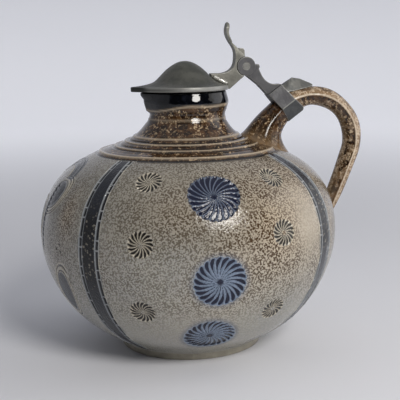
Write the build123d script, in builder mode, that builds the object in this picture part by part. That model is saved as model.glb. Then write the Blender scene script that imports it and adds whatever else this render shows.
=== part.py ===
from build123d import *
import os
from math import cos, radians, sin

# A globular salt-glazed stoneware jug with a domed pewter lid hinged on its handle.
#
# Frame, in millimetres: the origin is the centre of the flat foot, +Z is up, the
# handle stands towards +X and the pouring lip points to -X.  Everything but the
# handle's own taper is symmetric about the plane Y = 0.

# ---------------------------------------------------------------- thrown body
BELLY_R = 95.0
BELLY_Z = 76.0
FOOT_R = 45.5
FOOT_TOP_R = 46.5
FOOT_H = 4.5
FOOT_EDGE = 0.8
SHOULDER_R = 58.0
SHOULDER_Z = 126.0
NECK_BASE_R = 35.0
NECK_BASE_Z = 135.2
WAIST_R = 24.2
WAIST_Z = 149.5
MOUTH_R = 26.0
MOUTH_SWELL_Z = 157.0
MOUTH_TOP_R = 24.8
MOUTH_Z = 163.8
WALL = 5.2
FLOOR_T = 7.0
FLOOR_R = 38.0
NECK_WALL = 4.4
RIM_ROUND = 1.2

# turned grooves on the shoulder, between its edge and the foot of the neck
GROOVE_COUNT = 4
GROOVE_R = 0.9

# pouring lip pulled out of the mouth: height, round radius and reach, outside and inside
LIP_NOSE_R = 4.5
LIP_OUTSIDE = (
    (150.4, 23.4, 24.6),
    (155.0, 24.6, 26.6),
    (160.0, 24.8, 28.4),
    (163.8, 24.6, 30.6),
)
LIP_INSIDE_NOSE_R = 2.5
LIP_INSIDE = ((152.0, 19.2, 19.5), (163.8, 20.2, 26.8))

# --------------------------------------------------------------------- handle
LOOP_X = 83.5
LOOP_Z = 129.5
LOOP_R = 28.4
GRIP_R = 6.1
ROOT_ANGLE = 141.0
LOOP_TOP_ANGLE = 90.0
LOOP_END_ANGLE = -21.5
ROOT_LENGTH = 27.0
ROOT_R = 16.0
ROOT_MID_R = 10.6
ROOT_TOP_R = 8.0
ROOT_SPREAD = 6.0
STRAP_SEAT_R = 7.7
PAST_STRAP_R = 7.0
TAIL_RUN = 37.0
GRIP_END_R = 4.8
# thumbed tail: height, distance from the axis, radius
TAIL_SECTIONS = ((90.0, 95.5, 5.0), (80.5, 95.0, 2.6), (71.0, 94.4, 1.0))

# ------------------------------------------------------------------ lid shell
LID_R = 27.5
LID_SEAT_Z = 164.0
BRIM_T = 3.0
LID_APEX_Z = 182.5
LID_WALL = 2.0
LID_HOLLOW_R = 21.5
HOLLOW_SHOULDER = (20.5, 166.2)
BEAK_REACH = 34.8
BEAK_NOSE_R = 4.0

# ---------------------------------------------------------------------- hinge
PIN_X = 39.6
PIN_Z = 178.2
PIN_R = 1.6
PIN_RUNNING_GAP = 0.05
PIN_HEAD_R = 2.3
PIN_HEAD_T = 0.8
HINGE_WIDTH = 8.0
KNUCKLE_WIDTH = 3.2
KNUCKLE_R = 5.8
KNUCKLE_GAP = 0.15
LUG_R = 6.0
HINGE_CLEARANCE = 0.35
LID_OPEN_ANGLE = 86.0
SHANK_NOSE_ANGLE = 7.0
SHANK_NOSE_R = 8.4
LID_NOSE_FACE = 10.2
LID_NOSE_R = 11.4
LID_NOSE_CHAMFER = 4.0
LID_NOSE_BACK = 12.4
LID_NOSE_SPAN = 17.0
ARM_INSET = 0.3
# thumb rest seen from the front: a waisted blade with a broader pad
BLADE_FOOT_Z = 185.0
BLADE_WAIST_Z = 193.0
BLADE_WAIST_HALF = 3.0
BLADE_PAD_Z = 200.5
BLADE_PAD_HALF = 4.5
BLADE_TIP_Z = 206.5
# solder beads along the foot of the block, as (x, z)
SOLDER_R = 1.3
SOLDER_TOP = (18.0, 172.2)
SOLDER_LOW = (26.6, 167.6)

# -------------------------------------------------------- strap on the handle
STRAP_ANGLE = 125.5
STRAP_TOP = 13.5
STRAP_TOP_HALF = 6.0
STRAP_WAIST = 1.3
STRAP_WAIST_HALF = 9.9
STRAP_BOTTOM = -8.7
STRAP_BOTTOM_HALF = 5.4
STRAP_CUT = 30.0
# tongue: distance from the axis, lower and upper height, lower and upper half width
TONGUE_SECTIONS = (
    (60.0, 159.6, 162.6, 5.4, 3.6),
    (70.7, 161.5, 170.1, 5.4, 1.0),
    (76.4, 162.6, 168.9, 4.8, 0.9),
    (82.2, 163.7, 166.4, 2.2, 0.7),
    (84.7, 164.1, 165.4, 0.9, 0.4),
)

os.makedirs("parts", exist_ok=True)


def on_loop(angle):
    """A point of the handle's round loop, as (x, z)."""
    return (
        LOOP_X + LOOP_R * cos(radians(angle)),
        LOOP_Z + LOOP_R * sin(radians(angle)),
    )


def along(point, direction, distance):
    """The point a distance from another along a direction in the XZ plane."""
    return point[0] + direction[0] * distance, point[1] + direction[1] * distance


def plane_across(point, direction):
    """The plane through a point of the XZ plane, square to a direction in it."""
    return Plane(
        origin=(point[0], 0, point[1]),
        x_dir=(0, 1, 0),
        z_dir=(direction[0], 0, direction[1]),
    )


def lip_hull(outline_r, reach, nose_r):
    """Outline of the mouth from above: a circle drawn out to a rounded nose at -X."""
    Circle(outline_r)
    with Locations((nose_r - reach, 0)):
        Circle(nose_r)
    make_hull()


# ================================================================== stoneware
def draw_outside():
    """Outline of the vessel's outside from the axis at the foot to the mouth."""
    Polyline(
        (0, 0),
        (FOOT_R - FOOT_EDGE, 0),
        (FOOT_R, FOOT_EDGE),
        (FOOT_TOP_R, FOOT_H),
    )
    Spline(
        (FOOT_TOP_R, FOOT_H),
        (61.5, 14),
        (86, 42),
        (BELLY_R, BELLY_Z),
        (84.5, 108),
        (SHOULDER_R, SHOULDER_Z),
        tangents=((1, 0.75), (-1, 0.42)),
    )
    Line((SHOULDER_R, SHOULDER_Z), (NECK_BASE_R, NECK_BASE_Z))
    Spline(
        (NECK_BASE_R, NECK_BASE_Z),
        (27.6, 141.8),
        (WAIST_R, WAIST_Z),
        (MOUTH_R, MOUTH_SWELL_Z),
        (MOUTH_TOP_R, MOUTH_Z),
        tangents=((-1, 0.5), (-0.12, 1)),
    )
    Polyline((MOUTH_TOP_R, MOUTH_Z), (0, MOUTH_Z), (0, 0))


def draw_inside():
    """Outline of the space inside, from the floor up through the neck."""
    Line((0, FLOOR_T), (FLOOR_R, FLOOR_T))
    Spline(
        (FLOOR_R, FLOOR_T),
        (57.5, 17.2),
        (81, 44),
        (BELLY_R - WALL, BELLY_Z),
        (79.5, 105),
        (54, 122.2),
        tangents=((1, 0.15), (-1, 0.42)),
    )
    Spline(
        (54, 122.2),
        (31.5, 131.6),
        (WAIST_R - NECK_WALL, WAIST_Z),
        (MOUTH_TOP_R - NECK_WALL, MOUTH_Z + 1),
        tangents=((-1, 0.42), (0, 1)),
    )
    Polyline((MOUTH_TOP_R - NECK_WALL, MOUTH_Z + 1), (0, MOUTH_Z + 1), (0, FLOOR_T))


with BuildPart() as jug_form:
    # the vessel's outer shape, filled: other pieces are fitted against it
    with BuildSketch(Plane.XZ):
        with BuildLine():
            draw_outside()
        make_face()
    revolve(axis=Axis.Z)
    for height, round_r, reach in LIP_OUTSIDE:
        with BuildSketch(Plane.XY.offset(height)):
            lip_hull(round_r, reach, LIP_NOSE_R)
    loft()
    with BuildSketch(Plane.XZ):
        for step in range(GROOVE_COUNT):
            share = step / (GROOVE_COUNT - 1)
            groove_r = SHOULDER_R + share * (NECK_BASE_R - SHOULDER_R)
            groove_z = SHOULDER_Z + share * (NECK_BASE_Z - SHOULDER_Z)
            with Locations((groove_r, groove_z)):
                Circle(GROOVE_R)
    revolve(axis=Axis.Z, mode=Mode.SUBTRACT)

with BuildPart() as jug_body:
    add(jug_form.part)
    with BuildSketch(Plane.XZ):
        with BuildLine():
            draw_inside()
        make_face()
    revolve(axis=Axis.Z, mode=Mode.SUBTRACT)
    for height, round_r, reach in LIP_INSIDE:
        with BuildSketch(Plane.XY.offset(height)):
            lip_hull(round_r, reach, LIP_INSIDE_NOSE_R)
    loft(mode=Mode.SUBTRACT)
    mouth_edges = jug_body.faces().sort_by(Axis.Z)[-1].edges()
    fillet(mouth_edges, RIM_ROUND)
jug_body.part.label = "jug_body"

# Handle: a tapered root on the shoulder, a round loop, and a straight run down
# to the belly that ends in a thumbed tail.
root_direction = (sin(radians(ROOT_ANGLE)), -cos(radians(ROOT_ANGLE)))
root_top = on_loop(ROOT_ANGLE)
root_base = along(root_top, root_direction, -ROOT_LENGTH)
root_outward = (-root_direction[1], root_direction[0])
root_sections = [
    (along(root_base, root_outward, -ROOT_SPREAD), root_direction, ROOT_R),
    (along(root_top, root_direction, -ROOT_LENGTH / 2), root_direction, ROOT_MID_R),
    (root_top, root_direction, ROOT_TOP_R),
]
for bend, radius in (
    (STRAP_ANGLE, STRAP_SEAT_R),
    ((STRAP_ANGLE + LOOP_TOP_ANGLE) / 2, PAST_STRAP_R),
    (LOOP_TOP_ANGLE, GRIP_R),
):
    heading = (sin(radians(bend)), -cos(radians(bend)))
    root_sections.append((on_loop(bend), heading, radius))

run_start = on_loop(LOOP_END_ANGLE)
run_direction = (sin(radians(LOOP_END_ANGLE)), -cos(radians(LOOP_END_ANGLE)))
run_end = along(run_start, run_direction, TAIL_RUN)

with BuildPart() as handle:
    for place, heading, radius in root_sections:
        with BuildSketch(plane_across(place, heading)):
            Circle(radius)
    loft()
    with BuildSketch(plane_across(on_loop(LOOP_TOP_ANGLE), (1, 0))):
        Circle(GRIP_R)
    loop_axis = Axis((LOOP_X, 0, LOOP_Z), (0, 1, 0))
    revolve(axis=loop_axis, revolution_arc=LOOP_TOP_ANGLE - LOOP_END_ANGLE)
    with BuildSketch(plane_across(run_start, run_direction)):
        Circle(GRIP_R)
    with BuildSketch(plane_across(run_end, run_direction)):
        Circle(GRIP_END_R)
    loft()
    for height, reach, radius in TAIL_SECTIONS:
        with BuildSketch(Plane.XY.offset(height)):
            with Locations((reach, 0)):
                Circle(radius)
    loft()
    add(jug_form.part, mode=Mode.SUBTRACT)
handle.part.label = "handle"

# ====================================================================== pewter
with BuildPart() as lid_form:
    # the lid's outer shape, filled: a dome that runs out into a flat brim and beak
    with BuildSketch(Plane.XZ):
        with BuildLine():
            Spline(
                (0, LID_APEX_Z),
                (7.2, 180.4),
                (14.0, 175.0),
                (21.2, 168.8),
                (LID_R, LID_SEAT_Z + BRIM_T),
                tangents=((1, 0), (1, -0.08)),
            )
            Polyline(
                (LID_R, LID_SEAT_Z + BRIM_T),
                (LID_R, LID_SEAT_Z),
                (0, LID_SEAT_Z),
                (0, LID_APEX_Z),
            )
        make_face()
    revolve(axis=Axis.Z)
    with BuildSketch(Plane.XY.offset(LID_SEAT_Z)):
        lip_hull(LID_R, BEAK_REACH, BEAK_NOSE_R)
    extrude(amount=BRIM_T)

with BuildPart() as lid_shell:
    add(lid_form.part)
    with BuildSketch(Plane.XZ):
        with BuildLine():
            Spline(
                (0, LID_APEX_Z - LID_WALL),
                (6.5, 178.5),
                (12.6, 173.4),
                HOLLOW_SHOULDER,
                tangents=((1, 0), (0.8, -1)),
            )
            Polyline(
                HOLLOW_SHOULDER,
                (LID_HOLLOW_R, LID_SEAT_Z),
                (0, LID_SEAT_Z),
                (0, LID_APEX_Z - LID_WALL),
            )
        make_face()
    revolve(axis=Axis.Z, mode=Mode.SUBTRACT)
lid_shell.part.label = "lid_shell"

HINGE = Plane(origin=(PIN_X, 0, PIN_Z), x_dir=(1, 0, 0), z_dir=(0, -1, 0))
lug_inner = KNUCKLE_WIDTH / 2 + KNUCKLE_GAP
half_width = HINGE_WIDTH / 2


def polar(radius, angle):
    """A point of the hinge plane, from the pin."""
    return radius * cos(radians(angle)), radius * sin(radians(angle))


# Stop noses: the lid's nose meets the strap's nose when the lid is fully open.
lid_nose_angle = SHANK_NOSE_ANGLE + LID_OPEN_ANGLE

with BuildPart() as thumb_lever:
    # side view of the block, the stop nose and the curled thumb rest
    with BuildSketch(HINGE):
        with BuildLine():
            Spline(
                (-23.1, -4.0),
                (-15.0, -3.9),
                (-9.1, -0.9),
                (-7.2, 4.7),
                (-8.0, 11.2),
                (-10.8, 15.6),
                (-12.6, 20.3),
                (-12.9, 23.6),
                (-12.4, 26.6),
                (-11.4, 28.1),
                tangents=((1, 0), (0.8, 0.6)),
            )
            Spline(
                (-11.4, 28.1),
                (-10.4, 26.9),
                (-10.4, 25.0),
                (-10.8, 20.0),
                (-9.0, 15.5),
                (-5.3, 11.7),
                tangents=((0.8, -0.6), (0.8, -0.75)),
            )
            Polyline(
                (-5.3, 11.7),
                (-1.4, 6.9),
                (0, 0),
                (-0.9, -5.8),
                (-11.1, -14.1),
                (-23.1, -14.1),
                (-23.1, -4.0),
            )
        make_face()
    extrude(amount=half_width, both=True)
    # stop nose on the middle knuckle
    with BuildSketch(HINGE):
        Polygon(
            polar(LID_NOSE_FACE, lid_nose_angle),
            polar(LID_NOSE_R, lid_nose_angle + LID_NOSE_CHAMFER),
            polar(LID_NOSE_BACK, lid_nose_angle + LID_NOSE_SPAN),
            (0, 0),
            align=None,
        )
    extrude(amount=KNUCKLE_WIDTH / 2, both=True)
    # front view: a waisted blade with a broader pad at the top
    with BuildSketch(Plane.YZ.offset(PIN_X)):
        with BuildLine():
            Spline(
                (-half_width, BLADE_FOOT_Z),
                (-BLADE_WAIST_HALF, BLADE_WAIST_Z),
                (-BLADE_PAD_HALF, BLADE_PAD_Z),
                (0, BLADE_TIP_Z),
                (BLADE_PAD_HALF, BLADE_PAD_Z),
                (BLADE_WAIST_HALF, BLADE_WAIST_Z),
                (half_width, BLADE_FOOT_Z),
                tangents=((0, 1), (0, -1)),
            )
            Polyline(
                (half_width, BLADE_FOOT_Z),
                (half_width, LID_SEAT_Z - 1),
                (-half_width, LID_SEAT_Z - 1),
                (-half_width, BLADE_FOOT_Z),
            )
        make_face()
    extrude(amount=LID_R, both=True, mode=Mode.INTERSECT)
    add(lid_form.part, mode=Mode.SUBTRACT)
    # seats for the strap's two lugs, either side of the middle knuckle
    for side in (-1, 1):
        with BuildSketch(HINGE.offset(side * (lug_inner - KNUCKLE_GAP))):
            Circle(LUG_R + HINGE_CLEARANCE)
        extrude(amount=side * half_width, mode=Mode.SUBTRACT)
    with BuildSketch(HINGE):
        Circle(KNUCKLE_R)
    extrude(amount=KNUCKLE_WIDTH / 2, both=True)
    with BuildSketch(HINGE):
        Circle(PIN_R + PIN_RUNNING_GAP)
    extrude(amount=half_width, both=True, mode=Mode.SUBTRACT)
thumb_lever.part.label = "thumb_lever"

# Solder run along both sides of the block's foot, where it stands on the dome.
solder_length = Vector(*SOLDER_LOW).sub(Vector(*SOLDER_TOP)).length
solder_direction = (
    (SOLDER_LOW[0] - SOLDER_TOP[0]) / solder_length,
    (SOLDER_LOW[1] - SOLDER_TOP[1]) / solder_length,
)
with BuildPart() as lid_solder:
    for side in (-1, 1):
        with BuildSketch(plane_across(SOLDER_TOP, solder_direction)):
            with Locations((side * half_width, 0)):
                Circle(SOLDER_R)
        extrude(amount=solder_length)
    add(lid_form.part, mode=Mode.SUBTRACT)
    add(thumb_lever.part, mode=Mode.SUBTRACT)
lid_solder.part.label = "lid_solder"

# Strap planes: STRAP_SIDE looks square on to the handle's plane of symmetry, with
# its x along the handle, and STRAP_SECTION cuts straight across the handle.
strap_place = on_loop(STRAP_ANGLE)
strap_direction = (sin(radians(STRAP_ANGLE)), -cos(radians(STRAP_ANGLE)))
STRAP_SIDE = Plane(
    origin=(strap_place[0], 0, strap_place[1]),
    x_dir=(strap_direction[0], 0, strap_direction[1]),
    z_dir=(0, -1, 0),
)
STRAP_SECTION = plane_across(strap_place, strap_direction)


def strap_section():
    """Section of the strap: a six-sided ring, widest at its waist."""
    Polygon(
        (-STRAP_TOP_HALF, STRAP_TOP),
        (-STRAP_WAIST_HALF, STRAP_WAIST),
        (-STRAP_BOTTOM_HALF, STRAP_BOTTOM),
        (STRAP_BOTTOM_HALF, STRAP_BOTTOM),
        (STRAP_WAIST_HALF, STRAP_WAIST),
        (STRAP_TOP_HALF, STRAP_TOP),
        align=None,
    )


with BuildPart() as strap_band:
    # lower half of the strap, closed under the handle and wider below
    with BuildSketch(STRAP_SECTION):
        strap_section()
    extrude(amount=STRAP_CUT, both=True)
    with BuildSketch(STRAP_SIDE):
        Polygon(
            (-5.8, STRAP_WAIST),
            (-6.4, STRAP_BOTTOM),
            (6.0, STRAP_BOTTOM),
            (7.2, -7.2),
            (5.2, STRAP_WAIST),
            align=None,
        )
    extrude(amount=STRAP_CUT, both=True, mode=Mode.INTERSECT)
    add(handle.part, mode=Mode.SUBTRACT)
strap_band.part.label = "strap_band"

with BuildPart() as strap_saddle:
    # upper half of the strap, which sits astride the handle
    with BuildSketch(STRAP_SECTION):
        strap_section()
    extrude(amount=STRAP_CUT, both=True)
    with BuildSketch(STRAP_SIDE):
        Polygon(
            (-7.0, STRAP_TOP),
            (-5.8, STRAP_WAIST),
            (5.0, STRAP_WAIST),
            (3.8, STRAP_TOP),
            align=None,
        )
    extrude(amount=STRAP_CUT, both=True, mode=Mode.INTERSECT)

with BuildPart() as hinge_shank:
    # side view of the arm, measured from the pin, down to the top of the saddle
    with BuildSketch(HINGE):
        with BuildLine():
            Polyline(
                (0, 0),
                (0, -LUG_R),
                (7.4, -11.8),
                (13.2, -18.0),
                (15.6, -20.1),
                (24.0, -15.0),
                (23.2, -12.1),
            )
            Spline(
                (23.2, -12.1),
                (17.8, -11.9),
                (12.2, -8.9),
                (9.3, -4.3),
                (8.2, -1.9),
                tangents=((-1, 0.1), (-0.5, 1)),
            )
            Polyline(
                (8.2, -1.9),
                (8.9, -0.7),
                polar(SHANK_NOSE_R, SHANK_NOSE_ANGLE),
                polar(LUG_R, SHANK_NOSE_ANGLE),
                (0, 0),
            )
        make_face()
    extrude(amount=half_width - ARM_INSET, both=True)
    with BuildSketch(HINGE):
        Circle(LUG_R)
    extrude(amount=half_width, both=True)
    add(strap_saddle.part)
    with BuildSketch(HINGE):
        Circle(KNUCKLE_R + HINGE_CLEARANCE)
    extrude(amount=lug_inner, both=True, mode=Mode.SUBTRACT)
    with BuildSketch(HINGE):
        Circle(PIN_R)
    extrude(amount=half_width, both=True, mode=Mode.SUBTRACT)
    for side in (-1, 1):
        with BuildSketch(HINGE.offset(side * (half_width - PIN_HEAD_T))):
            Circle(PIN_HEAD_R)
        extrude(amount=side * PIN_HEAD_T, mode=Mode.SUBTRACT)
    add(handle.part, mode=Mode.SUBTRACT)
hinge_shank.part.label = "hinge_shank"

with BuildPart() as hinge_pin:
    with BuildSketch(HINGE):
        Circle(PIN_R)
    extrude(amount=half_width - PIN_HEAD_T, both=True)
    for side in (-1, 1):
        with BuildSketch(HINGE.offset(side * (half_width - PIN_HEAD_T))):
            Circle(PIN_HEAD_R)
        extrude(amount=side * PIN_HEAD_T)
hinge_pin.part.label = "hinge_pin"

with BuildPart() as strap_tongue:
    # a raised pointed leaf that runs from the saddle along the top of the handle
    for reach, low_z, high_z, low_half, high_half in TONGUE_SECTIONS:
        with BuildSketch(Plane.YZ.offset(reach)):
            Polygon(
                (-low_half, low_z),
                (low_half, low_z),
                (high_half, high_z),
                (-high_half, high_z),
                align=None,
            )
    loft(ruled=True)
    add(strap_saddle.part, mode=Mode.SUBTRACT)
    add(handle.part, mode=Mode.SUBTRACT)
strap_tongue.part.label = "strap_tongue"

PIECES = (
    jug_body,
    handle,
    lid_shell,
    thumb_lever,
    lid_solder,
    hinge_shank,
    hinge_pin,
    strap_band,
    strap_tongue,
)
for piece in PIECES:
    export_step(piece.part, f"parts/{piece.part.label}.step")
    print(piece.part.label, round(piece.part.volume / 1000, 2), "cm3")
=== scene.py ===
import math

import bpy
import numpy as np
from mathutils import Matrix, Vector


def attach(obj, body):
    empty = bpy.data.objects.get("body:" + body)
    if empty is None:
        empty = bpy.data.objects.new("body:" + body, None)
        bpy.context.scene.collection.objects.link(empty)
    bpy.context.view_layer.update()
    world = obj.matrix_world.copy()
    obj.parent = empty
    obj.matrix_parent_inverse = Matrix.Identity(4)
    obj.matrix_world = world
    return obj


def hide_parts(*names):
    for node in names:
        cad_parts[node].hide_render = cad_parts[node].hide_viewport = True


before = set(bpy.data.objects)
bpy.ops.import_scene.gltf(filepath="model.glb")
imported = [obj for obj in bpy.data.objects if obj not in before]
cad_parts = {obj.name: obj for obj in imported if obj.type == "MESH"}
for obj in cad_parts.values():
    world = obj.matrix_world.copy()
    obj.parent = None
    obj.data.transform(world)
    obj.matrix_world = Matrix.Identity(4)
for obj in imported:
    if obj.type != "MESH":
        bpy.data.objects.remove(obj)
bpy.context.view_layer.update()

MM = 0.001

# ------------------------------------------------------------ the jug's outline, in millimetres
FOOT_TOP = (46.5, 4.5)
BELLY = (FOOT_TOP, (61.5, 14), (86, 42), (95, 76), (84.5, 108), (58, 126))
NECK_BASE = (35, 135.2)
NECK = (NECK_BASE, (27.6, 141.8), (24.2, 149.5), (26.0, 157), (24.8, 162.6))
RIM_R = 1.2
MOUTH_Z = 163.8
INSIDE_NECK = ((20.4, 162.6), (19.8, 149.5), (31.5, 131.6), (54, 122.2))
INSIDE_BELLY = ((54, 122.2), (79.5, 105), (89.8, 76), (81, 44), (57.5, 17.2), (38, 7))
# the pulled lip: height, radius of the round mouth there, reach of the lip towards -X
LIP_LEVELS = (
    (149.6, 23.4, 23.6),
    (151.6, 23.8, 25.9),
    (156, 24.4, 26.6),
    (159, 24.8, 27.6),
    (161.5, 24.8, 30.2),
    (MOUTH_Z, 24.6, 30.6),
)
LIP_NOSE_R = 4.5
NECK_LEAN = 1.6

# ------------------------------------------------------------------ lattice of the jug's wall
COLUMNS = 1440
CELL = 8
BELLY_STEP = 3.36
SHOULDER_STEP = 0.36
NECK_STEP = 0.9
INSIDE_STEP = 3.2


def smooth_curve(points, spacing, start=None, end=None):
    """Points along the smooth curve through the given ones. Ends without a tangent are free."""
    p = np.array(points, float)
    count = len(p)
    gap = np.linalg.norm(np.diff(p[:, :2], axis=0), axis=1)
    a = np.zeros((count, count))
    b = np.zeros_like(p)
    for i in range(1, count - 1):
        a[i, i - 1] = 1 / gap[i - 1]
        a[i, i] = 2 / gap[i - 1] + 2 / gap[i]
        a[i, i + 1] = 1 / gap[i]
        b[i] = 3 * ((p[i] - p[i - 1]) / gap[i - 1] ** 2 + (p[i + 1] - p[i]) / gap[i] ** 2)
    for i, other, tangent in ((0, 1, start), (count - 1, count - 2, end)):
        a[i, i] = 1
        if tangent is None:
            a[i, other] = 0.5
            b[i] = 1.5 * (p[max(i, other)] - p[min(i, other)]) / gap[min(i, other)]
        else:
            b[i] = np.array(tangent, float) / np.linalg.norm(tangent[:2])
    slope = np.linalg.solve(a, b)
    knots = np.concatenate([[0], np.cumsum(gap)])
    t = np.linspace(0, knots[-1], max(2, round(knots[-1] / spacing)) + 1)
    i = np.clip(np.searchsorted(knots, t, side="right") - 1, 0, count - 2)
    h = gap[i][:, None]
    u = ((t - knots[i]) / gap[i])[:, None]
    return (
        (2 * u**3 - 3 * u**2 + 1) * p[i]
        + (u**3 - 2 * u**2 + u) * h * slope[i]
        + (3 * u**2 - 2 * u**3) * p[i + 1]
        + (u**3 - u**2) * h * slope[i + 1]
    )


def step(low, high, x):
    """0 below low, 1 above high, and smooth between them. It falls where low is above high."""
    t = np.clip((x - low) / (high - low), 0, 1)
    return t * t * (3 - 2 * t)


def bump_at(x, centre, width):
    """A soft hump of height 1."""
    return np.exp(-(((x - centre) / width) ** 2))


def ripple(x, y, z, size, seed):
    """Soft noise, mostly from -1 to 1, whose features are about size across."""
    rng = np.random.default_rng(seed)
    total = 0
    for _ in range(9):
        d = rng.normal(size=3)
        d *= rng.uniform(0.6, 1.5) * 2 * math.pi / size / np.linalg.norm(d)
        total = total + np.sin(d[0] * x + d[1] * y + d[2] * z + rng.uniform(0, 6.28))
    return total / 3.0


def hull_radius(angle, round_r, reach, nose_r):
    """Radius, at an angle from the lip, of a circle drawn out to a rounded nose."""
    centre = np.maximum(reach - nose_r, round_r - nose_r + 1e-3)
    beta = np.arccos(np.clip((round_r - nose_r) / centre, -1, 1))
    nose_end = np.arctan2(nose_r * np.sin(beta), centre + nose_r * np.cos(beta))
    nose = centre * np.cos(angle) + np.sqrt(np.maximum(nose_r**2 - (centre * np.sin(angle)) ** 2, 0))
    side = round_r / np.cos(np.clip(angle - beta, -1.2, 1.2))
    return np.where(angle < nose_end, nose, np.where(angle < beta, side, round_r))


def make_object(name, verts, faces, body, replaces=(), values=None):
    """A smooth-shaded piece from vertices in millimetres, which rides on a body."""
    mesh = bpy.data.meshes.new(name)
    mesh.from_pydata((np.asarray(verts) * MM).tolist(), [], faces)
    mesh.update()
    for key, value in (values or {}).items():
        mesh.attributes.new(key, "FLOAT", "POINT").data.foreach_set("value", value.astype(np.float32))
    made = bpy.data.objects.new(name, mesh)
    bpy.context.scene.collection.objects.link(made)
    mesh.shade_smooth()
    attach(made, body)
    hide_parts(*replaces)
    return made


def tube_faces(rings, sides):
    """Quads between rings of points that follow each other."""
    faces = []
    for i in range(rings - 1):
        for j in range(sides):
            k = (j + 1) % sides
            a, b = i * sides, (i + 1) * sides
            faces.append([a + j, b + j, b + k, a + k])
    return faces


# ------------------------------------------------------------------------- rows of the jug
def coarse_rows():
    """Every coarse row of the closed wall, from under the foot, up outside, and down inside."""
    outside = [smooth_curve(BELLY, BELLY_STEP, (1, 0.75), (-1, 0.42))]
    flat = np.linspace(0, 1, round(math.dist(BELLY[-1], NECK_BASE) / SHOULDER_STEP) + 1)[:, None]
    outside.append(np.array(BELLY[-1]) * (1 - flat) + np.array(NECK_BASE) * flat)
    outside.append(smooth_curve(NECK, NECK_STEP, (-1, 0.5), (-0.12, 1)))
    base = [(x, 0.5 * step(36.5, 34.5, x)) for x in (1.5, 12, 24, 33, 34.5, 35, 35.5, 36, 36.5, 38, 42)]
    foot = [(44.2, 0), (44.8, 0.08), (45.3, 0.35), (45.5, 0.8), (45.8, 2.0), (46.2, 3.4), (46.42, 4.2)]
    turn = np.radians(np.linspace(20, 160, 8))
    crown = [(22.6 + 2.2 * math.cos(a), 162.6 + RIM_R * math.sin(a)) for a in turn]
    inside = smooth_curve(INSIDE_NECK, NECK_STEP * 2, (0, -1), (1, -0.42))
    belly = smooth_curve(INSIDE_BELLY, INSIDE_STEP, (1, -0.42), (-1, -0.15))
    floor = [(30, 6.6), (18, 6.4), (6, 6.4), (1.5, 6.4)]
    runs = [base, foot, outside[0], outside[1][1:], outside[2][1:], crown, inside, belly[1:], floor]
    return np.concatenate([np.array(run, float) for run in runs])


coarse = coarse_rows()
row_count = (len(coarse) - 1) * CELL + 1
fine_at = np.arange(row_count) / CELL
row_r = np.interp(fine_at, np.arange(len(coarse)), coarse[:, 0])
row_z = np.interp(fine_at, np.arange(len(coarse)), coarse[:, 1])
run_length = np.concatenate([[0], np.cumsum(np.hypot(np.diff(row_r), np.diff(row_z)))])
first_belly = CELL * 18
along = run_length - run_length[first_belly]
top_row = int(np.argmax(row_z))
outer = np.arange(row_count) <= top_row
tangent = np.stack([np.gradient(row_r), np.gradient(row_z)], 1)
tangent /= np.linalg.norm(tangent, axis=1)[:, None]
row_out = np.stack([tangent[:, 1], -tangent[:, 0]], 1)


def along_at(z):
    """Distance up the outside of the belly at a height."""
    return np.interp(z, row_z[first_belly:top_row], along[first_belly:top_row])


theta = np.arange(COLUMNS) * 2 * math.pi / COLUMNS
R = row_r[:, None]
Z = row_z[:, None]
S = along[:, None]
T = theta[None, :]
X0 = R * np.cos(T)
Y0 = R * np.sin(T)
outside = outer[:, None] & (S > -0.5)


def turned(angle):
    """Angle from a heading in degrees, wrapped to -pi..pi."""
    return (T - math.radians(angle) + math.pi) % (2 * math.pi) - math.pi


# fields over the lattice: relief outward in millimetres, and how much of each finish shows. hollow darkens
# recesses: glaze and cobalt pooled there, and painted shade. pale lightens raised lines and the line under
# the mouth band: thin glaze, and on the raised lines partly painted highlight
FIELDS = ("cobalt", "hollow", "pale", "iron", "brown", "warm", "mouth", "calm", "bloom")
field = {key: np.zeros((row_count, COLUMNS)) for key in FIELDS}
relief = np.zeros((row_count, COLUMNS))
detail = np.zeros((row_count, COLUMNS), bool)

# --------------------------------------------------------------------------------- rosettes
BIG_R = 15.1
BIG_PETALS = 22
BIG_DEPTH = 0.85
BIG_HEART = 0.1
SMALL_R = 7.8
SMALL_PETALS = 16
SMALL_DEPTH = 0.65
SMALL_HEART = 0.16
SWIRL = 0.5
RIDGE_HALF = 0.26
PANELS = (-88.4, 91.6)
# big rosettes: offset from the panel's middle, height, how dark the blue is
BIG_ROSETTES = ((-1.3, 109.0, 1.0), (-1.0, 61.6, 0.3), (-3.0, 24.0, 0.1))
SMALL_ROSETTES = ((-28.6, 116.5), (-28.4, 84.0), (-30.2, 42.5), (28.4, 115.8), (24.0, 86.0), (23.7, 38.5))


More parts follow.
